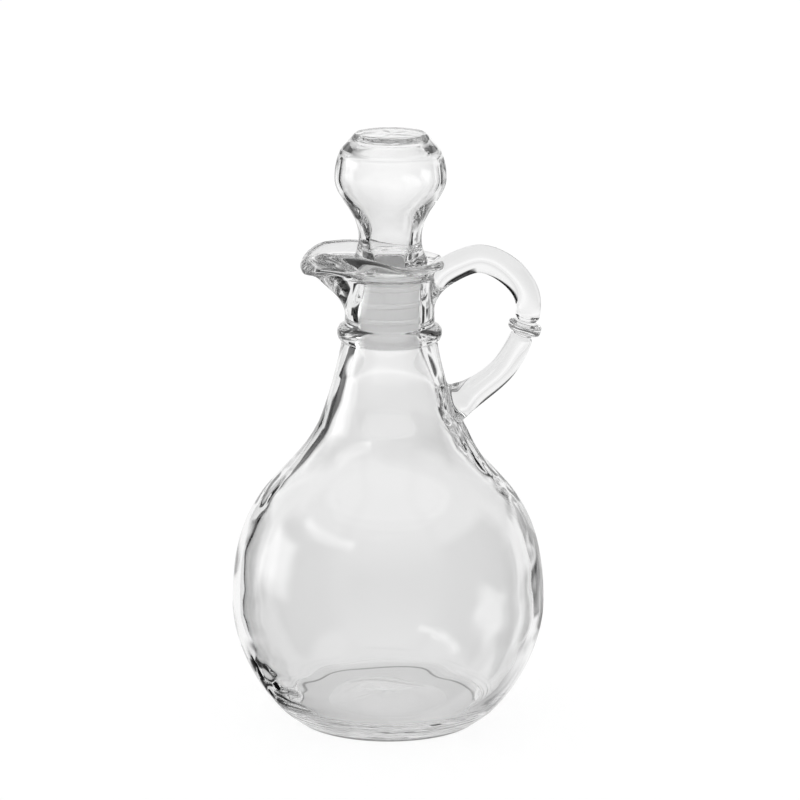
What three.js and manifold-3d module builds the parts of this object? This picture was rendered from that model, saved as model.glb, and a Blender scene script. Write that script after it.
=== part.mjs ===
// A clear glass cruet: a round bottle with a pulled pouring spout, an applied loop handle,
// and a hollow ball stopper whose shank is pushed into a ribbed seal sleeve.
// Millimetres, +Z up. The bottle stands on z = 0 with its axis on Z, the spout towards -X and the handle towards +X.
import * as THREE from "three";
import { mergeVertices } from "three/addons/utils/BufferGeometryUtils.js";
import Module from "manifold-3d";

// Clearances
const fitGap = 0.3; // between pieces that seat on or in each other

// Foot and bowl, outside
const footRadius = 26.2;
const heelAngle = 26; // degrees, how the heel leaves the table
const heelRun = 12.7; // how far the heel holds that angle
const bowlRadius = 45.7;
const bowlLevel = 34.5; // height of the widest place
const bowlRunBelow = 10.8; // how far the widest place stays upright, below and above
const bowlRunAbove = 36;
const pushUpRadius = 17; // hollow under the foot
const pushUpDepth = 1.8;

// Shoulder and neck, outside
const shoulderRadius = 20.8;
const shoulderLevel = 88;
const shoulderAngle = 63.6; // degrees from the horizontal
const shoulderRunBelow = 20.5;
const shoulderRunAbove = 3.3;
const neckRadius = 12.9;
const neckLength = 49.4; // from the shoulder to the rim
const neckWaistDrop = 15.9; // narrowest place, below the rim
const neckRun = 10.2;
const ringRadius = 15.2; // moulded ring round the neck
const ringHeight = 4.6;
const ringDrop = 21.8; // middle of the ring, below the rim

// Walls and inside
const bowlWall = 3.5;
const floorThickness = 6.5;
const floorFillet = 4.5;
const boreRadius = 9.2;
const boreLength = 21; // from the stopper's seat down
const boreRun = 9; // how far the inside of the neck stays upright below the bore

// Mouth, lip and spout
const lipRadius = 16.1;
const lipHeight = 2.7; // the upright band round the mouth
const lipRounding = 0.9;
const lipFlare = 8.5; // height of the flare under the band
const mouthRadius = 11.4; // at the seat
const mouthDepth = 5.6; // from the rim down to the seat
const rimWidth = 2.2;
const spoutReach = 9.9; // how far the tip stands out past the round lip
const spoutDepth = 14; // how far down the neck the pull begins
const spoutSharpness = 1.8;
const wingRise = 3.1; // the spout's sides stand above the round rim
const wingStart = 110; // degrees round from the tip
const wingFull = 50;
const tipDrop = 3.5; // the tip's fall below its sides
const tipWidth = 38; // degrees each way

// Handle, as a line through its middle: reach from the axis and height from the rim or the shoulder
const handleThickness = 7.7;
const handleWidth = 9;
const handleSink = 5; // how deep its ends are sunk before they are cut to the bottle
const handleRootDrop = 6.6;
const handleTopReach = 25.5;
const handleTopDrop = 0.2;
const handleBendReach = 36.2;
const handleBendDrop = 5.4;
const handleOutReach = 40;
const handleOutDrop = 15.5;
const handleReturnReach = 33.4;
const handleReturnRise = 17.6;
const handleFootRise = 6;
const rootRadius = 6.6; // flare of each end
const rootLength = 11;
const knucklePlace = 0.57; // share of the handle's length
const knuckleProud = 1.5;
const knuckleHeight = 3.4;

// Seal sleeve
const sleeveWall = 1.3;
const sleeveLength = 19.4; // below its flange
const sleeveRibProud = 0.35;
const sleeveRibHeight = 1.6;
const sleeveRibCount = 4;
const flangeRadius = 10.9;
const flangeThickness = 1.2;

// Stopper
const shankShortfall = 1.2; // the shank ends above the sleeve's lower end
const shankWall = 2.5;
const flareRadius = 10.9;
const flareRise = 2.6; // height of its widest place above its underside
const waistRadius = 9.05;
const waistRise = 9.5;
const ballRadius = 16.1;
const ballRise = 27.2;
const ballRunBelow = 9.5;
const ballRunAbove = 4.5;
const bevelRadius = 13.9; // lower edge of the bevelled crown
const bevelRise = 35.2;
const crownRadius = 10.1; // flat top
const crownRise = 40.2;
const stopperWall = 2.7;
const waistWall = 3;
const ceilingThickness = 5;

// Facets
const bottleSides = 36;
const stopperSides = 28;
const sleeveSides = 24;
const handleSides = 12;
const handleSteps = 22;
const knuckleSides = 16;
const weldDistance = 1e-4;

// Levels that follow from the sizes above
const rimLevel = shoulderLevel + neckLength;
const seatLevel = rimLevel - mouthDepth;
const flangeLevel = seatLevel + fitGap;
const stopperLevel = flangeLevel + flangeThickness + fitGap;
const sleeveEnd = flangeLevel - sleeveLength;

const wasm = await Module();
wasm.setup();

const point = (radius, level) => new THREE.Vector2(radius, level);
const degrees = THREE.MathUtils.degToRad;

// A smooth stretch of outline between two points, with the handle points that set its fullness.
function stretch(start, startHandle, endHandle, end, steps) {
  return new THREE.CubicBezierCurve(start, startHandle, endHandle, end).getPoints(steps);
}

// The same outline moved sideways to its left by a wall's thickness.
function inset(points, wall) {
  return points.map((here, i) => {
    const before = points[Math.max(i - 1, 0)];
    const after = points[Math.min(i + 1, points.length - 1)];
    const along = after.clone().sub(before).normalize();
    return point(here.x - along.y * wall, here.y + along.x * wall);
  });
}

function radiusAt(points, level) {
  const i = points.findIndex((p) => p.y >= level);
  const [low, high] = [points[i - 1], points[i]];
  return THREE.MathUtils.mapLinear(level, low.y, high.y, low.x, high.x);
}

// Turns an outline of radius and height about Z.
function turned(outline, sides) {
  return new THREE.LatheGeometry(outline, sides).rotateX(Math.PI / 2);
}

// Merges shared vertices and leaves out the flat triangles at the axis.
function weld(geometry) {
  geometry.deleteAttribute("normal");
  geometry.deleteAttribute("uv");
  const merged = mergeVertices(geometry, weldDistance);
  const corners = merged.getIndex().array;
  const kept = [];
  for (let i = 0; i < corners.length; i += 3) {
    const [a, b, c] = corners.slice(i, i + 3);
    if (a !== b && b !== c && c !== a) {
      kept.push(a, b, c);
    }
  }
  merged.setIndex(kept);
  return merged;
}

function solidOf(geometry) {
  const welded = weld(geometry);
  return new wasm.Manifold(new wasm.Mesh({
    numProp: 3,
    vertProperties: new Float32Array(welded.getAttribute("position").array),
    triVerts: new Uint32Array(welded.getIndex().array),
  }));
}

function geometryOf(solid) {
  const mesh = solid.getMesh();
  const geometry = new THREE.BufferGeometry();
  geometry.setAttribute("position", new THREE.BufferAttribute(mesh.vertProperties, 3));
  geometry.setIndex(new THREE.BufferAttribute(mesh.triVerts, 1));
  return geometry;
}

// Bottle

const shoulderSlope = point(Math.cos(degrees(shoulderAngle)), -Math.sin(degrees(shoulderAngle)));

function bowlOutside() {
  const heel = point(footRadius, 0);
  const widest = point(bowlRadius, bowlLevel);
  const shoulder = point(shoulderRadius, shoulderLevel);
  const heelHandle = point(
    footRadius + heelRun * Math.cos(degrees(heelAngle)), heelRun * Math.sin(degrees(heelAngle)));
  const below = stretch(heel, heelHandle, point(bowlRadius, bowlLevel - bowlRunBelow), widest, 6);
  const above = stretch(
    widest,
    point(bowlRadius, bowlLevel + bowlRunAbove),
    shoulderSlope.clone().multiplyScalar(shoulderRunBelow).add(shoulder),
    shoulder,
    9);
  return [...below, ...above.slice(1)];
}

function neckOutside() {
  const shoulder = point(shoulderRadius, shoulderLevel);
  const waist = point(neckRadius, rimLevel - neckWaistDrop);
  return stretch(
    shoulder,
    shoulderSlope.clone().multiplyScalar(-shoulderRunAbove).add(shoulder),
    point(neckRadius, waist.y - neckRun),
    waist,
    8);
}

// The neck with its moulded ring set into the outline, from just above the shoulder.
function neckWithRing() {
  const neck = neckOutside();
  const middle = rimLevel - ringDrop;
  const low = middle - ringHeight / 2;
  const high = middle + ringHeight / 2;
  const ring = [
    point(radiusAt(neck, low), low),
    point(ringRadius - ringHeight / 6, middle - ringHeight / 4),
    point(ringRadius, middle),
    point(ringRadius - ringHeight / 6, middle + ringHeight / 4),
    point(radiusAt(neck, high), high),
  ];
  const margin = ringHeight / 4;
  const belowRing = neck.slice(1).filter((p) => p.y < low - margin);
  const aboveRing = neck.filter((p) => p.y > high + margin);
  return [...belowRing, ...ring, ...aboveRing];
}

function lipOutside() {
  const bandLevel = rimLevel - lipHeight;
  const flareStart = point(neckRadius, bandLevel - lipFlare);
  const band = point(lipRadius, bandLevel);
  const flare = stretch(
    flareStart, point(neckRadius, bandLevel - lipFlare / 3), point(lipRadius - lipRounding, bandLevel - 1), band, 5);
  return [
    ...flare,
    point(lipRadius, rimLevel - lipRounding),
    point(lipRadius - lipRounding, rimLevel),
  ];
}

function mouthInside() {
  const rimInside = lipRadius - rimWidth;
  return [
    point(rimInside, rimLevel - lipRounding / 2),
    point((rimInside + mouthRadius) / 2, rimLevel - mouthDepth / 2),
    point(mouthRadius, seatLevel),
    point(boreRadius, seatLevel),
    point(boreRadius, seatLevel - boreLength / 2),
    point(boreRadius, seatLevel - boreLength),
  ];
}

// The inside of the neck and bowl, from the bore down to the middle of the floor.
function bowlInside() {
  const wallLine = inset(bowlOutside(), bowlWall).reverse();
  const boreEnd = point(boreRadius, seatLevel - boreLength);
  const top = wallLine[0];
  const neck = stretch(
    boreEnd,
    point(boreRadius, boreEnd.y - boreRun),
    shoulderSlope.clone().multiplyScalar(-shoulderRunAbove).add(top),
    top,
    5);
  const wall = wallLine.filter((p) => p.y > floorThickness + floorFillet);
  const foot = wall[wall.length - 1];
  const corner = point(foot.x - floorFillet / 2, floorThickness);
  const fillet = new THREE.QuadraticBezierCurve(foot, corner, point(corner.x - floorFillet, floorThickness));
  return [...neck.slice(1), ...wall.slice(1), ...fillet.getPoints(3).slice(1), point(0, floorThickness)];
}

// The share of the spout's pull that each point of the outline takes.
function pullOutside(p) {
  const share = (p.y - (rimLevel - spoutDepth)) / (spoutDepth - lipHeight / 2);
  return THREE.MathUtils.clamp(share, 0, 1) ** 1.4;
}

function pullInside(p) {
  return THREE.MathUtils.clamp((p.y - seatLevel) / mouthDepth, 0, 1);
}

// Draws the turned lip out into the spout, towards -X.
function pullSpout(geometry, pulls) {
  const position = geometry.getAttribute("position");
  for (let i = 0; i < position.count; i += 1) {
    const pull = pulls[i % pulls.length];
    const [x, y, z] = [position.getX(i), position.getY(i), position.getZ(i)];
    const aside = THREE.MathUtils.radToDeg(Math.atan2(Math.abs(y), -x));
    const reach = spoutReach * Math.max(Math.cos(degrees(aside)), 0) ** spoutSharpness;
    const rise = wingRise * (1 - THREE.MathUtils.smoothstep(aside, wingFull, wingStart));
    const fall = tipDrop * (1 - THREE.MathUtils.smoothstep(aside, 0, tipWidth));
    position.setXYZ(i, x - reach * pull, y, z + (rise - fall) * pull);
  }
  return geometry;
}

function outerOutline() {
  return [...bowlOutside(), ...neckWithRing(), ...lipOutside()];
}

function bottleGeometry() {
  const outside = outerOutline();
  const inside = [...mouthInside(), ...bowlInside()];
  const underside = [
    point(0, pushUpDepth),
    point(pushUpRadius * 0.6, pushUpDepth * 0.75),
    point(pushUpRadius, 0),
  ];
  const pulls = [...underside.map(() => 0), ...outside.map(pullOutside), ...inside.map(pullInside)];
  return weld(pullSpout(turned([...underside, ...outside, ...inside], bottleSides), pulls));
}

// The bottle without its hollow, grown by the fit gap, which the handle's ends are cut to.
function bottleBlank() {
  const grown = inset(outerOutline(), -fitGap);
  const foot = point(0, grown[0].y);
  const top = point(0, grown[grown.length - 1].y);
  const pulls = [0, ...outerOutline().map(pullOutside), 1];
  return solidOf(pullSpout(turned([foot, ...grown, top], bottleSides), pulls));
}

// Handle

function handleLine() {
  const outline = outerOutline();
  const rootLevel = rimLevel - handleRootDrop;
  const footLevel = shoulderLevel + handleFootRise;
  const stations = [
    [radiusAt(outline, rootLevel) - handleSink, rootLevel - handleSink / 3],
    [handleTopReach, rimLevel - handleTopDrop],
    [handleBendReach, rimLevel - handleBendDrop],
    [handleOutReach, rimLevel - handleOutDrop],
    [handleReturnReach, shoulderLevel + handleReturnRise],
    [radiusAt(outline, footLevel) - handleSink / 2, footLevel - handleSink / 2],
  ];
  return new THREE.CatmullRomCurve3(stations.map(([reach, level]) => new THREE.Vector3(reach, 0, level)));
}

// Stands a piece turned about Z at a place on the handle's line, with its axis along the line.
function alongHandle(geometry, line, share) {
  const turn = new THREE.Quaternion().setFromUnitVectors(
    new THREE.Vector3(0, 0, 1), line.getTangentAt(share));
  const place = line.getPointAt(share);
  return geometry.applyQuaternion(turn).translate(place.x, place.y, place.z);
}

function knuckle() {
  const radius = handleThickness / 2 + knuckleProud;
  const half = knuckleHeight / 2;
  const edge = knuckleHeight / 5;
  const outline = [
    point(0, -half), point(radius - knuckleProud, -half), point(radius, -edge),
    point(radius, edge), point(radius - knuckleProud, half), point(0, half),
  ];
  return turned(outline, knuckleSides).scale(1, handleWidth / handleThickness, 1);
}

// A trumpet that widens towards one end of the handle. Its end of the line is at z = 0.
function rootFlare(direction) {
  const inner = handleThickness / 2 - fitGap;
  const flare = stretch(
    point(rootRadius, 0), point(inner, rootLength / 3), point(inner, rootLength / 2), point(inner, rootLength), 5);
  const outline = [point(0, -handleSink), point(rootRadius, -handleSink), ...flare, point(0, rootLength)];
  const trumpet = turned(outline, knuckleSides);
  return direction > 0 ? trumpet : trumpet.rotateX(Math.PI);
}

function handleGeometry() {
  const line = handleLine();
  const section = new THREE.Shape();
  section.absellipse(0, 0, handleThickness / 2, handleWidth / 2, 0, 2 * Math.PI);
  const loop = new THREE.ExtrudeGeometry(section, {
    steps: handleSteps, curveSegments: handleSides / 2, extrudePath: line, bevelEnabled: false,
  });
  const whole = solidOf(loop)
    .add(solidOf(alongHandle(knuckle(), line, knucklePlace)))
    .add(solidOf(alongHandle(rootFlare(1), line, 0)))
    .add(solidOf(alongHandle(rootFlare(-1), line, 1)));
  return geometryOf(whole.subtract(bottleBlank()));
}

// Seal sleeve

function sleeveGeometry() {
  const ribRadius = boreRadius - fitGap;
  const outer = ribRadius - sleeveRibProud;
  const inner = outer - sleeveWall;
  const flangeTop = flangeLevel + flangeThickness;
  const ribPitch = sleeveLength / sleeveRibCount;
  const ribs = [];
  for (let i = 0; i < sleeveRibCount; i += 1) {
    const middle = sleeveEnd + ribPitch * (i + 0.5);
    ribs.push(
      point(outer, middle - sleeveRibHeight / 2), point(ribRadius, middle), point(outer, middle + sleeveRibHeight / 2));
  }
  const outline = [
    point(inner, sleeveEnd), point(outer, sleeveEnd), ...ribs,
    point(outer, flangeLevel), point(flangeRadius, flangeLevel),
    point(flangeRadius, flangeTop), point(inner, flangeTop), point(inner, sleeveEnd),
  ];
  return weld(turned(outline, sleeveSides));
}

// Stopper

function stopperGeometry() {
  const shankRadius = boreRadius - fitGap - sleeveRibProud - sleeveWall - fitGap;
  const shankInside = shankRadius - shankWall;
  const shankEnd = sleeveEnd + shankShortfall;
  const flare = point(flareRadius, stopperLevel + flareRise);
  const waist = point(waistRadius, stopperLevel + waistRise);
  const ball = point(ballRadius, stopperLevel + ballRise);
  const bevel = point(bevelRadius, stopperLevel + bevelRise);
  const crown = point(crownRadius, stopperLevel + crownRise);
  const waistRun = (waist.y - flare.y) / 2;
  const lower = stretch(
    waist, point(waistRadius, waist.y + waistRun), point(ballRadius, ball.y - ballRunBelow), ball, 7);
  const upper = stretch(
    ball, point(ballRadius, ball.y + ballRunAbove), point(bevelRadius + 1, bevel.y - 1), bevel, 4);
  const outside = [
    point(shankRadius, shankEnd),
    point(shankRadius, stopperLevel),
    point((shankRadius + flareRadius) / 2 + 1, stopperLevel),
    ...stretch(flare, point(flareRadius, flare.y + 1), point(waistRadius, waist.y - waistRun), waist, 5),
    ...lower.slice(1),
    ...upper.slice(1),
    crown,
    point(0, crown.y),
  ];
  const hollowBall = point(ballRadius - stopperWall, ball.y);
  const hollowWaist = point(waistRadius - waistWall, waist.y);
  const ceiling = point(0, crown.y - ceilingThickness);
  const inside = [
    ...stretch(
      ceiling, point(hollowBall.x * 0.7, ceiling.y), point(hollowBall.x, ball.y + ballRunAbove), hollowBall, 5),
    ...stretch(
      hollowBall, point(hollowBall.x, ball.y - ballRunBelow), point(hollowWaist.x, waist.y + waistRun), hollowWaist, 6,
    ).slice(1),
    point(shankInside, stopperLevel),
    point(shankInside, shankEnd),
  ];
  return weld(turned([...inside, ...outside], stopperSides));
}

// Materials and assembly

function clearGlass() {
  return new THREE.MeshStandardMaterial({
    color: 0xe6eaea, roughness: 0.04, metalness: 0, transparent: true, opacity: 0.35,
  });
}

function milkyPlastic() {
  return new THREE.MeshStandardMaterial({
    color: 0xdedede, roughness: 0.4, metalness: 0, transparent: true, opacity: 0.7,
  });
}

function named(name, geometry, material) {
  const mesh = new THREE.Mesh(geometry, material);
  mesh.name = name;
  return mesh;
}

const cruet = new THREE.Group();
cruet.name = "cruet";
cruet.add(
  named("bottle", bottleGeometry(), clearGlass()),
  named("handle", handleGeometry(), clearGlass()),
  named("stopper", stopperGeometry(), clearGlass()),
  named("stopper_sleeve", sleeveGeometry(), milkyPlastic()),
);

export default cruet;
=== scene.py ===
import math
import bmesh
import bpy
import numpy as np
from mathutils import Matrix, Vector
from mathutils.kdtree import KDTree


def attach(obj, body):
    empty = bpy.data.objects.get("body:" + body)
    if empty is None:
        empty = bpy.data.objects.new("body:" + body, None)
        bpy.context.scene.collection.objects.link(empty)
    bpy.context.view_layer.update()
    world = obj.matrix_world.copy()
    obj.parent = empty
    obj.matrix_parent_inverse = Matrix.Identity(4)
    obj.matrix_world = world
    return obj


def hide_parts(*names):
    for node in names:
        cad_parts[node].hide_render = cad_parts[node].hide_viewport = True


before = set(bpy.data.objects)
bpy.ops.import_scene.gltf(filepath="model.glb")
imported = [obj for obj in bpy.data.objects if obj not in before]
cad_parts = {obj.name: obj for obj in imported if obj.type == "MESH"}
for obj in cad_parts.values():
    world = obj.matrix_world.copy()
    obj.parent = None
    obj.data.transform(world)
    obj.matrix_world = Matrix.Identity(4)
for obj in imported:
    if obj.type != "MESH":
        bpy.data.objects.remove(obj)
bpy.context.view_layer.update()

# Sizes in millimetres and levels above the surface below the foot. The main ones are those of the solids
MM = 0.001
FIT_GAP = 0.3

# Foot and bowl
FOOT_RADIUS = 26.2
HEEL_ANGLE = math.radians(26)
HEEL_RUN = 12.7
HEEL_RING = 0.11
HEEL_PITCH = 1.3
HEEL_RING_START = (0.6, 1.6)
HEEL_RING_END = (4, 8)
PUSH_UP_RADIUS = 20
PUSH_UP_DEPTH = 0.4
PUSH_UP_POINTS = 40
BOWL_RADIUS = 45.7
BOWL_LEVEL = 34.5
BOWL_RUN_BELOW = 10.8
BOWL_RUN_ABOVE = 36
SHOULDER_RADIUS = 20.8
SHOULDER_LEVEL = 88
SHOULDER_ANGLE = math.radians(63.6)
SHOULDER_RUN_BELOW = 20.5
SHOULDER_RUN_ABOVE = 3.3

# Inside of the bowl
BOWL_WALL = 3.5
WALL_TOP = 103
BASE_THICKNESS = 6.5
BASE_FILLET = 4.5
BASE_FILLET_POINTS = 20
BASE_RADIUS = 28.5
BASE_POINTS = 120
BASE_STEP = 0.35
BASE_STEP_INNER = 0.9
BASE_STEP_OUTER = 0.3
BASE_RIPPLE = 0.012
BASE_RIPPLE_RATE = 2.2
BASE_RIPPLE_START = (8, 20)

# Neck and bore
NECK_RADIUS = 12.9
NECK_LENGTH = 49.4
NECK_WAIST_DROP = 15.9
NECK_RUN = 10.2
RING_RADIUS = 15.2
RING_HEIGHT = 4.6
RING_DROP = 21.8
RING_SQUARENESS = 0.8
RING_POINTS = 25
BORE_RADIUS = 9.2
BORE_LENGTH = 19
BORE_RUN = 2.5

# Lip, mouth and spout
LIP_RADIUS = 16.1
LIP_HEIGHT = 2.3
LIP_ROUNDING = 0.9
LIP_EDGE = 0.5
LIP_FLARE = 1.4
LIP_FLARE_RUN = 2.4
LIP_FLARE_DROP = 0.3
MOUTH_RADIUS = 11.4
MOUTH_DEPTH = 5.6
MOUTH_STEP = 1.1
RIM_WIDTH = 2.2
SPOUT_REACH = 9.9
SPOUT_DEPTH = 17
SPOUT_FULLNESS = 1.6
SPOUT_SAG = 2.5
SAG_START = 123
SPOUT_SHARPNESS = 1.8
WING_RISE = 3.1
WING_START = math.radians(110)
WING_FULL = math.radians(50)
TIP_DROP = 3.5
TIP_WIDTH = math.radians(38)
RIM_LEVEL = SHOULDER_LEVEL + NECK_LENGTH
SEAT_LEVEL = RIM_LEVEL - MOUTH_DEPTH

# Handle: stations along its middle as reach and height, and its thickness along it
HANDLE_STATIONS = [(4.0, 126.0), (12.5, 131.6), (25.5, 137.2), (36.2, 132.0), (40.0, 121.9), (33.4, 105.6),
                   (18.0, 93.2), (9.0, 87.5)]
HANDLE_THICKNESS = [(0, 8.2), (0.36, 8.2), (0.52, 7.1), (0.58, 6.8), (0.64, 7.2), (0.8, 7.8), (1, 8.2)]
HANDLE_WIDTH = 9
HANDLE_POINTS = 420
HANDLE_SIDES = 72
UPPER_ROOT = 9.5
UPPER_FADE = 2.5
UPPER_SAG = 6
LOWER_ROOT = 18.5
LOWER_FADE = 4
LOWER_SWELL = 3.2
LOWER_SWELL_MEAN = 0.65
LOWER_SWELL_LEAN = 0.35
FADE_POWER = 1.4
ROOT_SPREAD = 2.2
KNUCKLE_LEVEL = 117.2
KNUCKLE_PROUD = 1.4
KNUCKLE_HEIGHT = 3.0
KNUCKLE_SQUARENESS = 7
KNUCKLE_GROOVE = 0.75
KNUCKLE_GROOVE_PLACE = 1.5
KNUCKLE_GROOVE_WIDTH = 0.35

# Tail of glass on the bottle below the handle
TAIL_PROUD = 1.3
TAIL_WIDTH = 4.5
TAIL_TURN_RADIUS = BOWL_RADIUS / 1.6
TAIL_START = (76, 88)
TAIL_END = (90, 98)

# Junction of handle and bottle
BLANK_WALL = 1.6
BLANK_SPACING = 1.5
MELT_REACH = 2.8
MELT_ROUNDS = 16
MELT_WEIGHT = 0.6
MELT_MERGE = 0.2

# Seal sleeve, with the places in a rib's profile as shares of its height
SLEEVE_WALL = 1.3
SLEEVE_LENGTH = 19.4
SLEEVE_ROUNDING = 0.15
SLEEVE_SPACING = 0.2
RIB_PROUD = 0.35
RIB_HEIGHT = 1.4
RIB_GROOVE = 0.2
RIB_COUNT = 4
RIB_FOOT = 0.7
RIB_DIP = 0.55
RIB_CREST = 0.4
FLANGE_RADIUS = 10.9
FLANGE_THICKNESS = 1.2
FLANGE_LEVEL = SEAT_LEVEL + FIT_GAP
SLEEVE_END = FLANGE_LEVEL - SLEEVE_LENGTH
SLEEVE_OUTER = BORE_RADIUS - FIT_GAP - RIB_PROUD
SLEEVE_INNER = SLEEVE_OUTER - SLEEVE_WALL

# Stopper
STOPPER_LEVEL = FLANGE_LEVEL + FLANGE_THICKNESS + FIT_GAP
SHANK_RADIUS = SLEEVE_INNER - FIT_GAP
SHANK_WALL = 2.5
SHANK_INSIDE = SHANK_RADIUS - SHANK_WALL
SHANK_SHORT = 1.2
SHANK_END = SLEEVE_END + SHANK_SHORT
FLARE_RADIUS = 10.9
FLARE_RISE = 2.6
FLARE_EDGE = 1
FLARE_RUN = 1
WAIST_RADIUS = 9.05
WAIST_RISE = 9.5
WAIST_RUN = 8.5
WAIST_WALL = 3.1
BALL_RADIUS = 16.1
BALL_RISE = 27.2
BALL_RUN_BELOW = 6
BALL_RUN_ABOVE = 4.5
BEVEL_RADIUS = 14.4
BEVEL_RISE = 35.2
BEVEL_RUN_OUT = 0.5
BEVEL_RUN_DOWN = 1.5
BEVEL_WALL_ACROSS = 0.9
BEVEL_WALL_DOWN = 0.45
BEVEL_INSIDE_RUN = 1
CROWN_RADIUS = 10.1
CROWN_RISE = 40.2
STOPPER_WALL = 2.0
CEILING_THICKNESS = 3
CEILING_MARGIN = 1.2
HOLLOW_TAPER_TOP = 6
HOLLOW_TAPER_DEPTH = 3
STOPPER_FLARE = (FLARE_RADIUS, STOPPER_LEVEL + FLARE_RISE)
STOPPER_WAIST = (WAIST_RADIUS, STOPPER_LEVEL + WAIST_RISE)
STOPPER_BALL = (BALL_RADIUS, STOPPER_LEVEL + BALL_RISE)
STOPPER_BEVEL = (BEVEL_RADIUS, STOPPER_LEVEL + BEVEL_RISE)
STOPPER_CROWN = (CROWN_RADIUS, STOPPER_LEVEL + CROWN_RISE)

# Waves in the glass: height, seed and wavelength
OUTER_WAVE = (0.04, 3, 18)
INNER_WAVE = (0.07, 5, 14)
INNER_FINE_WAVE = (0.02, 6, 7)
HEEL_WANDER = (0.8, 8, 30)
HANDLE_WAVE = (0.06, 11, 14)
STOPPER_INNER_WAVE = (0.05, 21, 14)
STOPPER_FINE_WAVE = (0.015, 22, 5)
STOPPER_OUTER_WAVE = (0.03, 23, 14)
WAVE_TERMS = 10
WAVE_TURNS = 6
WAVES_START = (4, 14)
WAVES_END = (96, 110)
STOPPER_FINE_END = (STOPPER_WAIST[1], STOPPER_WAIST[1] + 6)
STOPPER_OUTER_START = (STOPPER_LEVEL, STOPPER_LEVEL + 3)

# Places where tools left the glass uneven: turn in degrees, level, spread in degrees, height, depth and seed
FLAWS = [
    (203, 16, 26, 6, 0.22, 31),
    (183, 67, 9, 4.5, 0.3, 32),
    (-3, 69, 8, 5, 0.2, 33),
    (0, 92, 12, 9, 0.28, 34),
    (0, 80, 10, 6, 0.28, 35),
]
FLAW_WAVELENGTH = 5
FLAW_TURNS = 6

# Mesh fineness
SIDES = 192
SPACING = 0.45
EDGE_ROUNDING = 0.6
STRETCH_POINTS = 80
STATION_POINTS = 40

# Looks: bump as scale, strength and detail, depths in metres
GLASS_IOR = 1.5
GLASS_DENSITY = 2.5
GLASS_BUMP = (90, 0.05, 1)
PLASTIC_LEVEL = 0.92
PLASTIC_ROUGHNESS = 0.38
PLASTIC_SUBSURFACE = 0.8
PLASTIC_DEPTH = 0.003
PLASTIC_BUMP = (700, 0.15, 3)
BUMP_DISTANCE = 0.0004

# Studio floor: its mesh in millimetres, then levels, and distances from the middle in metres
FLOOR_SIZE = 4000
FLOOR_LEVEL = 0.02
FLOOR_COLOUR = 0.25
FLOOR_GLOW = 0.82
# Painted shade on the floor as seen through glass: greyer near the cruet
FLOOR_GREY = 0.635
FLOOR_GREY_RISE = 0.22
FLOOR_GREY_REACH = 0.8
FLOOR_FAR = (0.9, 1.5)
FLOOR_FAR_DROP = 0.1
# Painted shade under the foot as seen through glass
FLOOR_SHADE_UNDER = (0.034, 0.028)
FLOOR_SHADE_UNDER_DROP = 0.14
# Painted contact shadow: a thin dark ring on the floor round the foot's edge, seen directly and through glass
FOOT_SHADOW_INSIDE = (0.026, 0.0256)
FOOT_SHADOW_OUTSIDE = (0.0261, 0.0272)
FLOOR_CLEAR_FROM = (0.03, 0.036)

# Room that reflections see: azimuths and elevations in degrees, and levels where 1 is white
BACK_LEVEL = 0.95
SIDE_LEVEL = 0.04
SIDE_FROM = (64, 72)
FRONT_LEVEL = 0.15
FRONT_FROM = (120, 145)
FRONT_CEILING = (5, 60)
CEILING = (30, 40)
SOFTBOX = (-81, 17, 8, 13, 5)
SOFTBOX_LEVEL = 2.2
STRIP = (-118, 30, 39, 2.6, 2.5)
STRIP_LEVEL = 2.4

# Dark flags of the room: azimuth of the middle, slant, half width, lowest and highest elevation, edge, level
FLAGS = [
    (-48, 0.35, 14, -24, 13, 1.5, 0.0),
    (-31, 0.0, 5, -3, 13, 1, 0.0),
    (18, 0.0, 8, -20, -5, 1.5, 0.45),
    (32, 0.0, 7, -14, -9, 1, 0.0),
    (32, 0.0, 7, -7, 4, 1, 0.4),
    (30, 0.0, 15, 9, 15, 1, 0.05),
    (53, 0.0, 6.5, -28, -6, 1.5, 0.0),
    (-40, 0.0, 45, -100, -25, 1, 0.03),
    (12, 0.0, 14, -100, -28, 3, 0.15),
    (55, 0.0, 32, -100, -30, 3, 0.5),
]

# Surround that is seen through the glass, and the soft light on plastic
LOW_LEVEL = 0.85
WHITE_FROM = (-2, 8)
BLACK_FROM = (13, 19)
BLACK_TO = (44, 52)
BLACK_LEFT = (-2, -12)
BLACK_RIGHT = (27, 36)
OPEN_LEVEL = 0.75
BEHIND_GLASS_LEVEL = 1.6
BEHIND_GLASS_SOFTBOX = 2.6

# Camera, in millimetres for the lens and metres for its place
CAMERA_LENS = 171.9
CAMERA_SENSOR = 36
CAMERA_REACH = 100
CAMERA_PITCH = math.radians(13.22)
CAMERA_ROLL = math.radians(0.36)
CAMERA_PLACE = (0.00315, -1.08, 0.349)
BOUNCES = 24


# Outlines

def smoothstep(value, low, high):
    t = np.clip((value - low) / (high - low), 0, 1)
    return t * t * (3 - 2 * t)


def stretch(start, start_handle, end_handle, end, count=STRETCH_POINTS):
    """A smooth stretch of outline between two points, with the handle points that set its fullness."""
    t = np.linspace(0, 1, count)[:, None]
    a, b, c, d = (np.array(p, float) for p in (start, start_handle, end_handle, end))
    return (1 - t) ** 3 * a + 3 * t * (1 - t) ** 2 * b + 3 * t ** 2 * (1 - t) * c + t ** 3 * d


def inset(points, wall):
    """The outline moved to its left by a wall's thickness."""
    along = np.gradient(points, axis=0)
    along /= np.linalg.norm(along, axis=1)[:, None]
    return points + wall * np.stack([-along[:, 1], along[:, 0]], 1)


def even(points, spacing):
    """The outline with points at an even spacing along it."""
    run = np.concatenate([[0], np.cumsum(np.linalg.norm(np.diff(points, axis=0), axis=1))])
    count = max(int(run[-1] / spacing), 8)
    at = np.linspace(0, run[-1], count + 1)
    return np.stack([np.interp(at, run, points[:, 0]), np.interp(at, run, points[:, 1])], 1)


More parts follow.
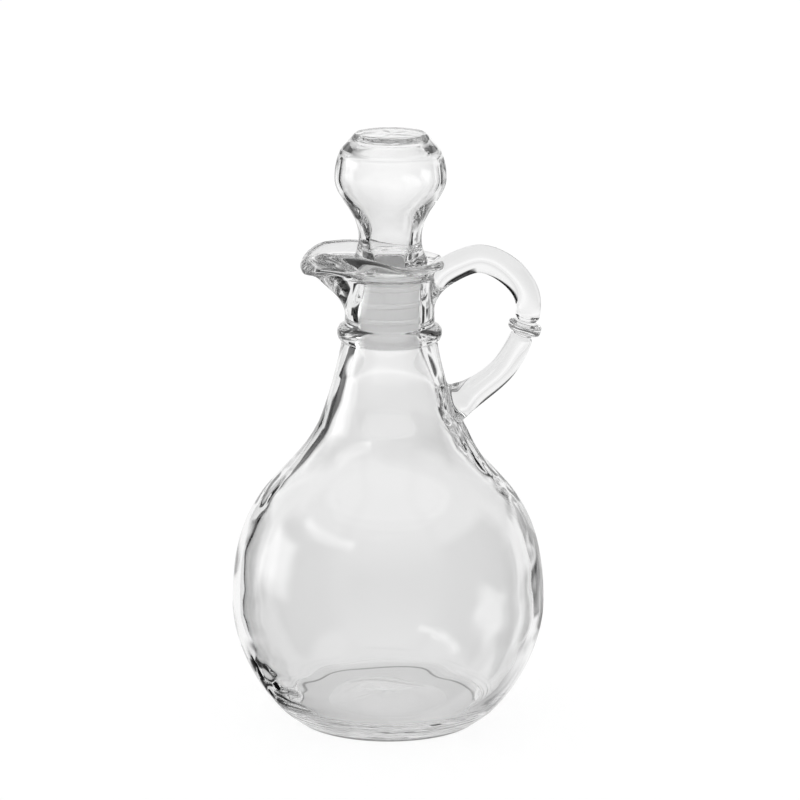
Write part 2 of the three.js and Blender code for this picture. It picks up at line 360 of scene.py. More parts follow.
def softened(points, radius, closed=False, spacing=SPACING):
    """The outline at an even fine spacing, with its corners rounded. An open outline ends on the axis."""
    fine = even(points, SPACING / 4)
    reach = int(12 * radius / SPACING)
    if closed:
        padded = np.concatenate([fine[-1 - reach:-1], fine[:-1], fine[:reach]])
    else:
        flip = np.array([-1, 1])
        padded = np.concatenate([fine[reach:0:-1] * flip, fine, fine[-2:-2 - reach:-1] * flip])
    span = np.arange(-reach, reach + 1) * SPACING / 4
    weight = np.exp(-0.5 * (span / (radius / 2)) ** 2)
    weight /= weight.sum()
    smooth_line = np.stack([np.convolve(padded[:, i], weight, "valid") for i in (0, 1)], 1)
    if closed:
        smooth_line = np.concatenate([smooth_line, smooth_line[:1]])
    else:
        smooth_line[[0, -1], 0] = 0
    return even(smooth_line, spacing)


def shoulder_handle(base, run):
    """A handle point along the shoulder's slope, up the neck for a positive run."""
    return (base[0] - run * math.cos(SHOULDER_ANGLE), base[1] + run * math.sin(SHOULDER_ANGLE))


def bowl_outside():
    heel_handle = (FOOT_RADIUS + HEEL_RUN * math.cos(HEEL_ANGLE), HEEL_RUN * math.sin(HEEL_ANGLE))
    widest = (BOWL_RADIUS, BOWL_LEVEL)
    shoulder = (SHOULDER_RADIUS, SHOULDER_LEVEL)
    below = stretch((FOOT_RADIUS, 0), heel_handle, (BOWL_RADIUS, BOWL_LEVEL - BOWL_RUN_BELOW), widest)
    above = stretch(widest, (BOWL_RADIUS, BOWL_LEVEL + BOWL_RUN_ABOVE),
                    shoulder_handle(shoulder, -SHOULDER_RUN_BELOW), shoulder)
    return np.concatenate([below, above[1:]])


def neck_outside():
    shoulder = (SHOULDER_RADIUS, SHOULDER_LEVEL)
    waist = (NECK_RADIUS, RIM_LEVEL - NECK_WAIST_DROP)
    neck = stretch(shoulder, shoulder_handle(shoulder, SHOULDER_RUN_ABOVE),
                   (NECK_RADIUS, waist[1] - NECK_RUN), waist)[1:]
    middle = RIM_LEVEL - RING_DROP
    around = np.linspace(-math.pi / 2, math.pi / 2, RING_POINTS)
    levels = middle + RING_HEIGHT / 2 * np.sin(around)
    base = np.interp(levels, neck[:, 1], neck[:, 0])
    ring = np.stack([base + (RING_RADIUS - base) * np.cos(around) ** RING_SQUARENESS, levels], 1)
    return np.concatenate([neck[neck[:, 1] < levels[0]], ring, neck[neck[:, 1] > levels[-1]]])


def lip_outside():
    band = RIM_LEVEL - LIP_HEIGHT
    flare = stretch((NECK_RADIUS, band - LIP_FLARE), (NECK_RADIUS, band - LIP_FLARE / 3),
                    (LIP_RADIUS - LIP_FLARE_RUN, band - LIP_FLARE_DROP), (LIP_RADIUS - LIP_EDGE, band))
    top = [
        (LIP_RADIUS, band + LIP_EDGE),
        (LIP_RADIUS, RIM_LEVEL - LIP_ROUNDING),
        (LIP_RADIUS - LIP_ROUNDING, RIM_LEVEL),
    ]
    return np.concatenate([flare, top])


def mouth_inside():
    rim_inside = LIP_RADIUS - RIM_WIDTH
    return np.array([
        (rim_inside, RIM_LEVEL - LIP_ROUNDING / 2),
        (MOUTH_RADIUS, SEAT_LEVEL + MOUTH_STEP),
        (MOUTH_RADIUS, SEAT_LEVEL),
        (BORE_RADIUS, SEAT_LEVEL),
        (BORE_RADIUS, SEAT_LEVEL - BORE_LENGTH),
    ])


def base_inside():
    """The top of the bowl's base, from its edge to the axis."""
    radius = np.linspace(BASE_RADIUS, 0, BASE_POINTS)
    ripples = BASE_RIPPLE * np.sin(radius * BASE_RIPPLE_RATE) * smoothstep(radius, *BASE_RIPPLE_START)
    step = BASE_STEP * (1 - smoothstep(radius, BASE_RADIUS - BASE_STEP_INNER, BASE_RADIUS - BASE_STEP_OUTER))
    return np.stack([radius, BASE_THICKNESS + ripples + step], 1)


def bowl_inside():
    outside = np.concatenate([bowl_outside(), neck_outside()])
    wall = inset(even(outside[outside[:, 1] < WALL_TOP], SPACING), BOWL_WALL)[::-1]
    bore_end = (BORE_RADIUS, SEAT_LEVEL - BORE_LENGTH)
    upward = (wall[0] - wall[3]) / np.linalg.norm(wall[0] - wall[3])
    neck = stretch(bore_end, (BORE_RADIUS, bore_end[1] - BORE_RUN), wall[0] + BORE_RUN * upward, wall[0])
    wall = wall[wall[:, 1] > BASE_THICKNESS + BASE_FILLET]
    crease = (BASE_RADIUS, BASE_THICKNESS)
    turn = (wall[-1][0] - BASE_FILLET / 2, wall[-1][1] - BASE_FILLET / 1.5)
    fillet = stretch(wall[-1], turn, turn, crease, BASE_FILLET_POINTS)
    return np.concatenate([neck[1:], wall[1:], fillet[1:], base_inside()[1:]])


def outside_outline():
    return np.concatenate([bowl_outside(), neck_outside(), lip_outside()])


def bottle_outline():
    radius = np.linspace(0, PUSH_UP_RADIUS, PUSH_UP_POINTS)
    underside = np.stack([radius, PUSH_UP_DEPTH * (1 - smoothstep(radius, 0, PUSH_UP_RADIUS))], 1)
    whole = np.concatenate([underside, outside_outline(), mouth_inside(), bowl_inside()])
    return softened(whole, EDGE_ROUNDING)


def stopper_outside():
    run = (STOPPER_WAIST[1] - STOPPER_FLARE[1]) / 2
    under_flare = ((SHANK_RADIUS + FLARE_RADIUS) / 2 + FLARE_EDGE, STOPPER_LEVEL)
    shank = [(SHANK_RADIUS, SHANK_END), (SHANK_RADIUS, STOPPER_LEVEL), under_flare]
    flare = stretch(STOPPER_FLARE, (FLARE_RADIUS, STOPPER_FLARE[1] + FLARE_RUN),
                    (WAIST_RADIUS, STOPPER_WAIST[1] - run), STOPPER_WAIST)
    lower = stretch(STOPPER_WAIST, (WAIST_RADIUS, STOPPER_WAIST[1] + WAIST_RUN),
                    (BALL_RADIUS, STOPPER_BALL[1] - BALL_RUN_BELOW), STOPPER_BALL)
    upper = stretch(STOPPER_BALL, (BALL_RADIUS, STOPPER_BALL[1] + BALL_RUN_ABOVE),
                    (BEVEL_RADIUS + BEVEL_RUN_OUT, STOPPER_BEVEL[1] - BEVEL_RUN_DOWN), STOPPER_BEVEL)
    top = [STOPPER_CROWN, (0, STOPPER_CROWN[1])]
    return np.concatenate([shank, flare, lower[1:], upper[1:], top])


def stopper_inside():
    ceiling = STOPPER_CROWN[1] - CEILING_THICKNESS
    bevel = (
        BEVEL_RADIUS - STOPPER_WALL * BEVEL_WALL_ACROSS,
        STOPPER_BEVEL[1] - STOPPER_WALL * BEVEL_WALL_DOWN,
    )
    ball = (BALL_RADIUS - STOPPER_WALL, STOPPER_BALL[1])
    waist = (WAIST_RADIUS - WAIST_WALL, STOPPER_WAIST[1])
    top = [(0, ceiling), (CROWN_RADIUS - CEILING_MARGIN, ceiling)]
    upper = stretch(bevel, (bevel[0] + BEVEL_INSIDE_RUN, bevel[1] - BEVEL_INSIDE_RUN),
                    (ball[0], ball[1] + BALL_RUN_ABOVE), ball)
    lower = stretch(ball, (ball[0], ball[1] - BALL_RUN_BELOW), (waist[0], waist[1] + WAIST_RUN), waist)
    shank = [
        (waist[0], STOPPER_LEVEL + HOLLOW_TAPER_TOP),
        (SHANK_INSIDE, STOPPER_LEVEL - HOLLOW_TAPER_DEPTH),
        (SHANK_INSIDE, SHANK_END),
    ]
    return np.concatenate([top, upper, lower[1:], shank])


def stopper_outline():
    return softened(np.concatenate([stopper_inside(), stopper_outside()]), EDGE_ROUNDING)


def sleeve_outline():
    rib = SLEEVE_OUTER + RIB_PROUD
    groove = SLEEVE_OUTER - RIB_GROOVE
    pitch = SLEEVE_LENGTH / RIB_COUNT
    middles = SLEEVE_END + pitch * (np.arange(RIB_COUNT) + 0.5)
    profile = [(SLEEVE_OUTER, -RIB_FOOT), (groove, -RIB_DIP), (rib, -RIB_CREST),
               (rib, RIB_CREST), (groove, RIB_DIP), (SLEEVE_OUTER, RIB_FOOT)]
    ribs = [(radius, middle + share * RIB_HEIGHT) for middle in middles for radius, share in profile]
    top = FLANGE_LEVEL + FLANGE_THICKNESS
    points = [(SLEEVE_INNER, SLEEVE_END), (SLEEVE_OUTER, SLEEVE_END), *ribs,
              (SLEEVE_OUTER, FLANGE_LEVEL), (FLANGE_RADIUS, FLANGE_LEVEL), (FLANGE_RADIUS, top),
              (SLEEVE_INNER, top), (SLEEVE_INNER, SLEEVE_END)]
    return softened(np.array(points, float), SLEEVE_ROUNDING, closed=True, spacing=SLEEVE_SPACING)


# Turned surfaces

def ripple(angle, level, seed, wavelength):
    """A smooth uneven swell about 1 high, the same every time for one seed."""
    rng = np.random.default_rng(seed)
    total = np.zeros_like(angle)
    for _ in range(WAVE_TERMS):
        around = rng.integers(0, WAVE_TURNS)
        along = rng.uniform(-1, 1) * 2 * math.pi / wavelength
        total += np.sin(around * angle + along * level + rng.uniform(0, 2 * math.pi))
    return total / math.sqrt(WAVE_TERMS)


def wave(angle, level, height, seed, wavelength):
    return height * ripple(angle, level, seed, wavelength)


def flaw(angle, level, turn, middle, spread, height, depth, seed):
    """Uneven waves in one place of a turned surface."""
    aside = np.angle(np.exp(1j * (angle - math.radians(turn)))) / math.radians(spread)
    window = np.exp(-aside ** 2 - ((level - middle) / height) ** 2)
    return depth * window * ripple(FLAW_TURNS * angle, level, seed, FLAW_WAVELENGTH)


def outline_normals(outline):
    along = np.gradient(outline, axis=0)
    along /= np.linalg.norm(along, axis=1)[:, None]
    return np.stack([along[:, 1], -along[:, 0]], 1)


def turned_points(outline, swell=None):
    """The outline turned about Z as a grid of points, swollen along its normals where swell is given."""
    angle = np.tile(np.linspace(0, 2 * math.pi, SIDES, endpoint=False), (len(outline), 1))
    radius = np.repeat(outline[:, :1], SIDES, 1)
    level = np.repeat(outline[:, 1:], SIDES, 1)
    if swell is not None:
        normal = outline_normals(outline)
        amount = swell(angle, level)
        radius = radius + normal[:, :1] * amount
        level = level + normal[:, 1:] * amount
    return np.stack([radius * np.cos(angle), radius * np.sin(angle), level], 2)


def grid_faces(rows, sides, closed):
    """Quads between the rows of a turned grid. A closed grid joins its last row to its first."""
    faces = []
    for i in range(rows if closed else rows - 1):
        for j in range(sides):
            k = (j + 1) % sides
            n = (i + 1) % rows
            faces.append((i * sides + j, i * sides + k, n * sides + k, n * sides + j))
    return faces


def mesh_object(name, points, faces):
    mesh = bpy.data.meshes.new(name)
    mesh.from_pydata((np.asarray(points) * MM).tolist(), [], faces)
    mesh.update()
    obj = bpy.data.objects.new(name, mesh)
    bpy.context.scene.collection.objects.link(obj)
    return obj


def turned_object(name, points, closed=False):
    """A turned grid as a mesh. The first and last rows of an open one close on the axis."""
    rows, sides, _ = points.shape
    if closed:
        return mesh_object(name, points.reshape(-1, 3), grid_faces(rows, sides, True))
    middle = points[1:-1].reshape(-1, 3)
    poles = [points[0].mean(0), points[-1].mean(0)]
    faces = grid_faces(rows - 2, sides, False)
    last = (rows - 3) * sides
    count = len(middle)
    for j in range(sides):
        k = (j + 1) % sides
        faces.append((count, k, j))
        faces.append((count + 1, last + j, last + k))
    return mesh_object(name, np.concatenate([middle, poles]), faces)


def smooth(obj):
    obj.data.polygons.foreach_set("use_smooth", [True] * len(obj.data.polygons))


# Bottle

def spout_pull(outline):
    """The share of the spout's pull that each point of the outline takes, outside and inside."""
    rim = int(np.argmax(outline[:, 1]))
    level = outline[:, 1]
    outer = np.clip((level - (RIM_LEVEL - SPOUT_DEPTH)) / (SPOUT_DEPTH - LIP_HEIGHT / 2), 0, 1)
    outer **= SPOUT_FULLNESS
    inner = np.clip((level - SEAT_LEVEL) / MOUTH_DEPTH, 0, 1) ** 2
    return np.where(np.arange(len(outline)) <= rim, outer, inner)


def spout_sag(outline):
    """The share of the spout's sag that each point of the outline takes, none at the rim or inside."""
    rim = int(np.argmax(outline[:, 1]))
    level = outline[:, 1]
    band = RIM_LEVEL - LIP_HEIGHT
    share = smoothstep(level, SAG_START, band - LIP_FLARE) * (1 - smoothstep(level, band, RIM_LEVEL))
    return np.where(np.arange(len(outline)) <= rim, share, 0)


def pull_spout(points, outline):
    """Draws the turned lip out into the spout, towards -X."""
    pull = spout_pull(outline)[:, None]
    sag = SPOUT_SAG * spout_sag(outline)[:, None]
    aside = np.abs(np.arctan2(points[..., 1], -points[..., 0]))
    reach = SPOUT_REACH * np.maximum(np.cos(aside), 0) ** SPOUT_SHARPNESS
    rise = WING_RISE * (1 - smoothstep(aside, WING_FULL, WING_START))
    fall = TIP_DROP * (1 - smoothstep(aside, 0, TIP_WIDTH))
    points[..., 0] -= reach * pull
    points[..., 2] += (rise - fall) * pull - sag * rise / WING_RISE
    return points


def handle_tail(angle, level):
    """The tail of glass that runs down the bottle below the handle."""
    aside = np.angle(np.exp(1j * angle)) * TAIL_TURN_RADIUS
    tail = np.exp(-(aside / TAIL_WIDTH) ** 2) * smoothstep(level, *TAIL_START)
    return TAIL_PROUD * tail * (1 - smoothstep(level, *TAIL_END))


def heel_rings(angle, level):
    """Fine uneven rings round the heel."""
    window = smoothstep(level, *HEEL_RING_START) * (1 - smoothstep(level, *HEEL_RING_END))
    rings = HEEL_RING * np.sin(2 * math.pi * level / HEEL_PITCH + wave(angle, level, *HEEL_WANDER))
    return window * rings


def bottle_object():
    outline = bottle_outline()
    rim = int(np.argmax(outline[:, 1]))
    inside = (np.arange(len(outline)) > rim)[:, None]

    def swell(angle, level):
        bowl = smoothstep(level, *WAVES_START) * (1 - smoothstep(level, *WAVES_END))
        outer = wave(angle, level, *OUTER_WAVE) + handle_tail(angle, level)
        inner = wave(angle, level, *INNER_WAVE) + wave(2 * angle, level, *INNER_FINE_WAVE)
        inner += sum(flaw(angle, level, *place) for place in FLAWS)
        return np.where(inside, bowl * inner, bowl * outer + heel_rings(angle, level))

    points = pull_spout(turned_points(outline, swell), outline)
    return turned_object("bottle_glass", points)


# Handle

def catmull(stations, count):
    """A smooth line through the stations, with points at an even spacing, and the run along it."""
    p = np.array(stations, float)
    p = np.concatenate([[2 * p[0] - p[1]], p, [2 * p[-1] - p[-2]]])
    t = np.linspace(0, 1, STATION_POINTS, endpoint=False)[:, None]
    pieces = []
    for a, b, c, d in zip(p, p[1:], p[2:], p[3:]):
        bend = 2 * a - 5 * b + 4 * c - d
        twist = 3 * b - a - 3 * c + d
        pieces.append(0.5 * (2 * b + (c - a) * t + bend * t ** 2 + twist * t ** 3))
    line = np.concatenate([*pieces, p[-2:-1]])
    run = np.concatenate([[0], np.cumsum(np.linalg.norm(np.diff(line, axis=0), axis=1))])
    at = np.linspace(0, run[-1], count)
    return np.stack([np.interp(at, run, line[:, i]) for i in (0, 1)], 1), at


def root_share(line, root, fade):
    """How much of a root's flare each point of the handle's line takes, 1 at the bottle and 0 well out."""
    out = np.maximum(line[:, 0] - root, 0)
    return np.exp(-(out / fade) ** FADE_POWER)


def knuckle_collar(line, run):
    """How far the knuckle stands proud along the handle, with a groove on each side of it."""
    start = len(line) // 2
    knuckle_run = np.interp(-KNUCKLE_LEVEL, -line[start:, 1], run[start:])
    away = np.abs((run - knuckle_run) / (KNUCKLE_HEIGHT / 2))
    collar = KNUCKLE_PROUD * np.clip(1 - away ** KNUCKLE_SQUARENESS, 0, 1)
    return collar - KNUCKLE_GROOVE * np.exp(-((away - KNUCKLE_GROOVE_PLACE) / KNUCKLE_GROOVE_WIDTH) ** 2)


def handle_object():
    line, run = catmull(HANDLE_STATIONS, HANDLE_POINTS)
    along = np.gradient(line, axis=0)
    along /= np.linalg.norm(along, axis=1)[:, None]
    out = np.stack([-along[:, 1], along[:, 0]], 1)
    half = np.interp(run / run[-1], *zip(*HANDLE_THICKNESS)) / 2
    first_half = np.arange(len(line)) < len(line) / 2
    upper = np.where(first_half, root_share(line, UPPER_ROOT, UPPER_FADE), 0)
    lower = np.where(first_half, 0, root_share(line, LOWER_ROOT, LOWER_FADE))
    collar = knuckle_collar(line, run)
    angle = np.linspace(0, 2 * math.pi, HANDLE_SIDES, endpoint=False)
    wobble = wave(*np.meshgrid(angle, run), *HANDLE_WAVE)
    # The loop's inside is where the cosine is negative, and each root flares most there
    inner = LOWER_SWELL_MEAN - LOWER_SWELL_LEAN * np.cos(angle)[None, :]
    thick = (half + collar)[:, None] + LOWER_SWELL * lower[:, None] * inner + wobble
    sag = UPPER_SAG * upper[:, None] * (0.5 - 0.5 * np.cos(angle)) ** 2
    wide = (HANDLE_WIDTH / 2 + collar + ROOT_SPREAD * (upper + lower))[:, None] + wobble
    in_plane = thick * np.cos(angle)
    points = np.stack([
        line[:, :1] + out[:, :1] * in_plane,
        -wide * np.sin(angle),
        line[:, 1:] + out[:, 1:] * in_plane - sag,
    ], 2)
    return turned_object("handle_glass", points)


# Joining the handle to the bottle

def combined(first, second, operation):
    """The first object's mesh joined with, or cut by, the second. The second object is used up."""
    tool = first.modifiers.new("tool", "BOOLEAN")
    tool.object = second
    tool.operation = operation
    tool.solver = "MANIFOLD"
    graph = bpy.context.evaluated_depsgraph_get()
    mesh = bpy.data.meshes.new_from_object(first.evaluated_get(graph))
    first.modifiers.clear()
    first.data = mesh
    bpy.data.objects.remove(second)
    return first


def mark_faces(obj, markers, index):
    """Marks every face of an object, so that its faces are known after it is joined to another."""
    obj.data.materials.clear()
    for marker in markers:
        obj.data.materials.append(marker)
    obj.data.polygons.foreach_set("material_index", [index] * len(obj.data.polygons))


def blank_object(wall):
    """The bottle without its hollow, smaller by a wall, that keeps the handle's ends out of the neck."""
    outline = inset(outside_outline(), wall)
    closed = np.concatenate([[(0, outline[0][1])], outline, [(0, outline[-1][1])]])
    return turned_object("blank", turned_points(even(closed, BLANK_SPACING)))


def melt_junction(obj):
    """Rounds the crease where the handle meets the bottle, as melted glass flows together."""
    reach = MELT_REACH * MM
    shape = bmesh.new()
    shape.from_mesh(obj.data)
    seam = [v.co.copy() for v in shape.verts if len({f.material_index for f in v.link_faces}) > 1]
    tree = KDTree(len(seam))
    for i, place in enumerate(seam):
        tree.insert(place, i)
    tree.balance()
    near = [v for v in shape.verts if tree.find(v.co)[2] < reach]
    bmesh.ops.remove_doubles(shape, verts=near, dist=MELT_MERGE * MM)
    moving = []
    for v in shape.verts:
        gap = tree.find(v.co)[2] / reach
        if gap < 1:
            moving.append((v, MELT_WEIGHT * (1 - gap), [e.other_vert(v) for e in v.link_edges]))
    for _ in range(MELT_ROUNDS):
        middles = [sum((w.co for w in around), Vector()) / len(around) for _, _, around in moving]
        for (v, weight, _), middle in zip(moving, middles):
            v.co = v.co.lerp(middle, weight)
    shape.to_mesh(obj.data)
    shape.free()


def bottle_and_handle():
    markers = [bpy.data.materials.new(name) for name in ("bottle_side", "handle_side")]
    bottle = bottle_object()
    handle = combined(handle_object(), blank_object(BLANK_WALL), "DIFFERENCE")
    mark_faces(bottle, markers, 0)
    mark_faces(handle, markers, 1)
    glass = combined(bottle, handle, "UNION")
    melt_junction(glass)
    glass.data.polygons.foreach_set("material_index", [0] * len(glass.data.polygons))
    for marker in markers:
        bpy.data.materials.remove(marker)
    smooth(glass)
    return glass


# Stopper and sleeve

def stopper_object():
    outline = stopper_outline()
    bottom = int(np.argmin(outline[:, 1]))
    inside = (np.arange(len(outline)) < bottom)[:, None]

    def swell(angle, level):
        low = 1 - smoothstep(level, *STOPPER_FINE_END)
        upper = smoothstep(level, *STOPPER_OUTER_START)
        inner = wave(angle, level, *STOPPER_INNER_WAVE) + low * wave(2 * angle, level, *STOPPER_FINE_WAVE)
        outer = upper * wave(angle, level, *STOPPER_OUTER_WAVE)
        return np.where(inside, inner, outer)

    glass = turned_object("stopper_glass", turned_points(outline, swell))
    smooth(glass)
    return glass


def sleeve_object():
    sleeve = turned_object("sleeve", turned_points(sleeve_outline()), closed=True)
    smooth(sleeve)
    return sleeve


# Shader nodes

def grey(level):
    return (level, level, level, 1)


def math_node(tree, operation, *inputs):
    """A math node on the given sockets or numbers. Returns its output."""
    node = tree.nodes.new("ShaderNodeMath")
    node.operation = operation
    for socket, value in zip(node.inputs, inputs):
        if isinstance(value, (int, float)):
            socket.default_value = value
        else:
            tree.links.new(value, socket)
    return node.outputs[0]


def steps_node(tree, value, low, high):
    """A smooth step of a socket from 0 at low to 1 at high."""
    node = tree.nodes.new("ShaderNodeMapRange")
    node.interpolation_type = "SMOOTHSTEP"
    node.inputs["From Min"].default_value = low
    node.inputs["From Max"].default_value = high
    tree.links.new(value, node.inputs["Value"])
    return node.outputs["Result"]


def mix_node(tree, factor, first, second):
    """A mix of two colours, each a socket or a tuple."""
    node = tree.nodes.new("ShaderNodeMix")
    node.data_type = "RGBA"
    sockets = (node.inputs["Factor"], node.inputs["A"], node.inputs["B"])
    for socket, value in zip(sockets, (factor, first, second)):
        if isinstance(value, tuple):
            socket.default_value = value
        else:
            tree.links.new(value, socket)
    return node.outputs["Result"]


def shader(name):
    material = bpy.data.materials.new(name)
    material.use_nodes = True
    tree = material.node_tree
    return material, tree, tree.nodes["Principled BSDF"]


def add_bump(tree, principled, scale, strength, detail):
    place = tree.nodes.new("ShaderNodeTexCoord")
    noise = tree.nodes.new("ShaderNodeTexNoise")
    noise.inputs["Scale"].default_value = scale
    noise.inputs["Detail"].default_value = detail
    bump = tree.nodes.new("ShaderNodeBump")
    bump.inputs["Strength"].default_value = strength
    bump.inputs["Distance"].default_value = BUMP_DISTANCE
    tree.links.new(place.outputs["Object"], noise.inputs["Vector"])
    tree.links.new(noise.outputs["Fac"], bump.inputs["Height"])
    tree.links.new(bump.outputs["Normal"], principled.inputs["Normal"])


# Materials

def clear_glass(name):
    material, tree, principled = shader(name)
    principled.inputs["Base Color"].default_value = grey(1)
    principled.inputs["Roughness"].default_value = 0
    principled.inputs["IOR"].default_value = GLASS_IOR
    principled.inputs["Transmission Weight"].default_value = 1
    add_bump(tree, principled, *GLASS_BUMP)
    absorb = tree.nodes.new("ShaderNodeVolumeAbsorption")
    absorb.inputs["Color"].default_value = grey(0)
    absorb.inputs["Density"].default_value = GLASS_DENSITY
    tree.links.new(absorb.outputs["Volume"], tree.nodes["Material Output"].inputs["Volume"])
    return material


def milky_plastic():
    material, tree, principled = shader("milky_plastic")
    principled.inputs["Roughness"].default_value = PLASTIC_ROUGHNESS
    principled.inputs["Base Color"].default_value = grey(PLASTIC_LEVEL)
    principled.inputs["Subsurface Weight"].default_value = PLASTIC_SUBSURFACE
    principled.inputs["Subsurface Radius"].default_value = (1, 1, 1)
    principled.inputs["Subsurface Scale"].default_value = PLASTIC_DEPTH
    add_bump(tree, principled, *PLASTIC_BUMP)
    return material


def floor_grey(tree, distance):
    """The floor's level seen through glass, greyer far away. Painted shade: greyer near the cruet, greyest
    under the foot.
    """
    # Painted shade: greyest near the cruet, lighter further out
    away = math_node(tree, "MINIMUM", distance, FLOOR_GREY_REACH)
    share = math_node(tree, "POWER", math_node(tree, "DIVIDE", away, FLOOR_GREY_REACH), 2)
    level = math_node(tree, "MULTIPLY_ADD", share, FLOOR_GREY_RISE, FLOOR_GREY)
    far = steps_node(tree, distance, *FLOOR_FAR)
    level = math_node(tree, "MULTIPLY_ADD", far, -FLOOR_FAR_DROP, level)
    # Painted shade under the foot
    under = steps_node(tree, distance, *FLOOR_SHADE_UNDER)
    return math_node(tree, "MULTIPLY_ADD", under, -FLOOR_SHADE_UNDER_DROP, level)


def white_floor():
    """White to the camera but for a faint shadow and a painted shadow at the foot. Clear to reflections
    further out.
    """
    material, tree, principled = shader("white_floor")
    principled.inputs["Base Color"].default_value = grey(FLOOR_COLOUR)
    principled.inputs["Roughness"].default_value = 1
    principled.inputs["Specular IOR Level"].default_value = 0
    path = tree.nodes.new("ShaderNodeLightPath")
    place = tree.nodes.new("ShaderNodeTexCoord")
    length = tree.nodes.new("ShaderNodeVectorMath")
    length.operation = "LENGTH"
    tree.links.new(place.outputs["Object"], length.inputs[0])
    distance = length.outputs["Value"]
    glow = tree.nodes.new("ShaderNodeMix")
    glow.inputs["A"].default_value = FLOOR_GLOW
    tree.links.new(path.outputs["Is Transmission Ray"], glow.inputs["Factor"])
    tree.links.new(floor_grey(tree, distance), glow.inputs["B"])
    # Painted contact shadow: the glow falls to nothing in a thin ring round the foot's edge
    inside = steps_node(tree, distance, *FOOT_SHADOW_INSIDE)
    outside = steps_node(tree, distance, *FOOT_SHADOW_OUTSIDE)
    outside_foot_shadow = math_node(tree, "ADD", inside, outside)
    strength = math_node(tree, "MULTIPLY", glow.outputs["Result"], outside_foot_shadow)
    principled.inputs["Emission Color"].default_value = grey(1)
    tree.links.new(strength, principled.inputs["Emission Strength"])
    clear = tree.nodes.new("ShaderNodeBsdfTransparent")
    reflected = math_node(tree, "GREATER_THAN", path.outputs["Glossy Depth"], 0.5)
    clear_share = math_node(tree, "MULTIPLY", reflected, steps_node(tree, distance, *FLOOR_CLEAR_FROM))
    pick = tree.nodes.new("ShaderNodeMixShader")
    tree.links.new(clear_share, pick.inputs["Fac"])
    tree.links.new(principled.outputs["BSDF"], pick.inputs[1])
    tree.links.new(clear.outputs["BSDF"], pick.inputs[2])
    tree.links.new(pick.outputs["Shader"], tree.nodes["Material Output"].inputs["Surface"])
    return material


# Studio

def panel_node(tree, azimuth, height, centre, half_width, middle, half_height, edge):
    """A light panel with soft edges as a mask, placed by azimuth and elevation in degrees."""
    aside = math_node(tree, "ABSOLUTE", math_node(tree, "SUBTRACT", azimuth, centre))
    up = math_node(tree, "ABSOLUTE", math_node(tree, "SUBTRACT", height, middle))
    across = steps_node(tree, aside, half_width + edge, half_width - edge)
    along = steps_node(tree, up, half_height + edge, half_height - edge)
    return math_node(tree, "MULTIPLY", across, along)


def flag_node(tree, azimuth, height, middle, slant, half_width, low, high, edge):
    """A dark flag as a mask, its middle leaning with the elevation."""
    centre = math_node(tree, "MULTIPLY_ADD", height, slant, middle)
    aside = math_node(tree, "ABSOLUTE", math_node(tree, "SUBTRACT", azimuth, centre))
    across = steps_node(tree, aside, half_width + edge, half_width - edge)
    above = steps_node(tree, height, low - 2 * edge, low + 2 * edge)
    below = steps_node(tree, height, high + 2 * edge, high - 2 * edge)
    return math_node(tree, "MULTIPLY", across, math_node(tree, "MULTIPLY", above, below))


def room_colour(tree, azimuth, height, softbox):
    """What reflections see: a pale back, dark sides, a dim front, flags, a white ceiling and two lights."""
    away = math_node(tree, "ABSOLUTE", azimuth)
    room = mix_node(tree, steps_node(tree, away, *SIDE_FROM), grey(BACK_LEVEL), grey(SIDE_LEVEL))
    front = mix_node(tree, steps_node(tree, height, *FRONT_CEILING), grey(FRONT_LEVEL), grey(1))
    room = mix_node(tree, steps_node(tree, away, *FRONT_FROM), room, front)
    for *shape, level in FLAGS:
        room = mix_node(tree, flag_node(tree, azimuth, height, *shape), room, grey(level))
    not_front = steps_node(tree, away, *FRONT_FROM[::-1])
    ceiling = math_node(tree, "MULTIPLY", steps_node(tree, height, *CEILING), not_front)
    room = mix_node(tree, ceiling, room, grey(1))
    room = mix_node(tree, softbox, room, grey(SOFTBOX_LEVEL))
    return mix_node(tree, panel_node(tree, azimuth, height, *STRIP), room, grey(STRIP_LEVEL))


def through_colour(tree, azimuth, height):
    """What is seen through glass: white, a little grey low down, black high on the left and on the right."""
    surround = mix_node(tree, steps_node(tree, height, *WHITE_FROM), grey(LOW_LEVEL), grey(1))
    high_end = steps_node(tree, height, *BLACK_TO)
    high = math_node(tree, "SUBTRACT", steps_node(tree, height, *BLACK_FROM), high_end)
    left = math_node(tree, "MULTIPLY", high, steps_node(tree, azimuth, *BLACK_LEFT))
    black = math_node(tree, "MAXIMUM", left, steps_node(tree, azimuth, *BLACK_RIGHT))
    return mix_node(tree, black, surround, grey(0))


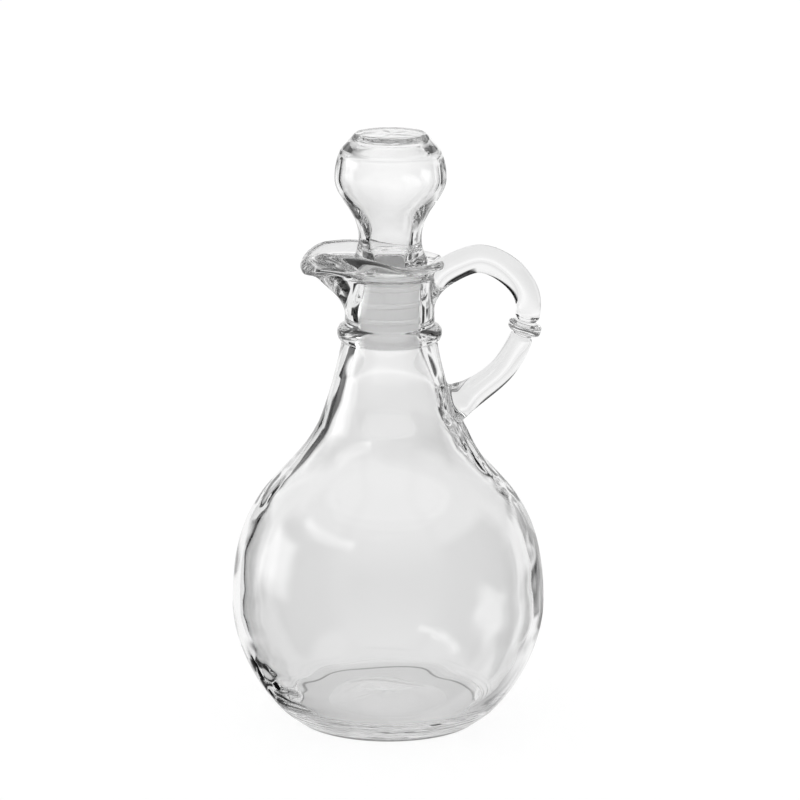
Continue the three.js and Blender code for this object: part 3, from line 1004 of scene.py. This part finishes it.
def studio_world():
    """White to the camera. Glass reflects the room and shows the surround, and plastic gets soft light."""
    world = bpy.data.worlds.new("studio")
    bpy.context.scene.world = world
    world.use_nodes = True
    tree = world.node_tree
    path = tree.nodes.new("ShaderNodeLightPath")
    place = tree.nodes.new("ShaderNodeTexCoord")
    split = tree.nodes.new("ShaderNodeSeparateXYZ")
    tree.links.new(place.outputs["Generated"], split.inputs["Vector"])
    azimuth = math_node(tree, "DEGREES", math_node(tree, "ARCTAN2", split.outputs["X"], split.outputs["Y"]))
    height = math_node(tree, "DEGREES", math_node(tree, "ARCSINE", split.outputs["Z"]))
    softbox = panel_node(tree, azimuth, height, *SOFTBOX)
    reflected = math_node(tree, "GREATER_THAN", path.outputs["Glossy Depth"], 0.5)
    through = through_colour(tree, azimuth, height)
    colour = mix_node(tree, reflected, through, room_colour(tree, azimuth, height, softbox))
    behind_glass = mix_node(tree, softbox, grey(BEHIND_GLASS_LEVEL), grey(BEHIND_GLASS_SOFTBOX))
    soft = mix_node(tree, path.outputs["Is Transmission Ray"], grey(OPEN_LEVEL), behind_glass)
    scattered = math_node(tree, "GREATER_THAN", path.outputs["Diffuse Depth"], 0.5)
    colour = mix_node(tree, scattered, colour, soft)
    colour = mix_node(tree, path.outputs["Is Camera Ray"], colour, grey(1))
    tree.links.new(colour, tree.nodes["Background"].inputs["Color"])


def floor_object():
    corners = [(x * FLOOR_SIZE, y * FLOOR_SIZE, FLOOR_LEVEL) for x, y in ((-1, -1), (1, -1), (1, 1), (-1, 1))]
    floor = mesh_object("floor", corners, [(0, 1, 2, 3)])
    floor.data.materials.append(white_floor())


def photo_camera():
    data = bpy.data.cameras.new("camera")
    data.lens = CAMERA_LENS
    data.sensor_width = CAMERA_SENSOR
    data.clip_end = CAMERA_REACH
    obj = bpy.data.objects.new("camera", data)
    bpy.context.scene.collection.objects.link(obj)
    turn = Matrix.Rotation(math.pi / 2 - CAMERA_PITCH, 4, "X") @ Matrix.Rotation(CAMERA_ROLL, 4, "Z")
    obj.matrix_world = Matrix.Translation(CAMERA_PLACE) @ turn
    bpy.context.scene.camera = obj


# The dressed part in its studio

def dress(obj, material, slot, body, *nodes):
    obj.data.materials.clear()
    obj.data.materials.append(material)
    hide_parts(*nodes)
    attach(obj, body)


dress(bottle_and_handle(), clear_glass("bottle_clear_glass"), "bottle_glass", "bottle", "bottle", "handle")
dress(stopper_object(), clear_glass("stopper_clear_glass"), "stopper_glass", "stopper", "stopper")
dress(sleeve_object(), milky_plastic(), "sleeve_plastic", "sleeve", "stopper_sleeve")
studio_world()
floor_object()
photo_camera()
scene = bpy.context.scene
scene.view_settings.view_transform = "Standard"
scene.cycles.max_bounces = BOUNCES
scene.cycles.transmission_bounces = BOUNCES
scene.cycles.glossy_bounces = BOUNCES
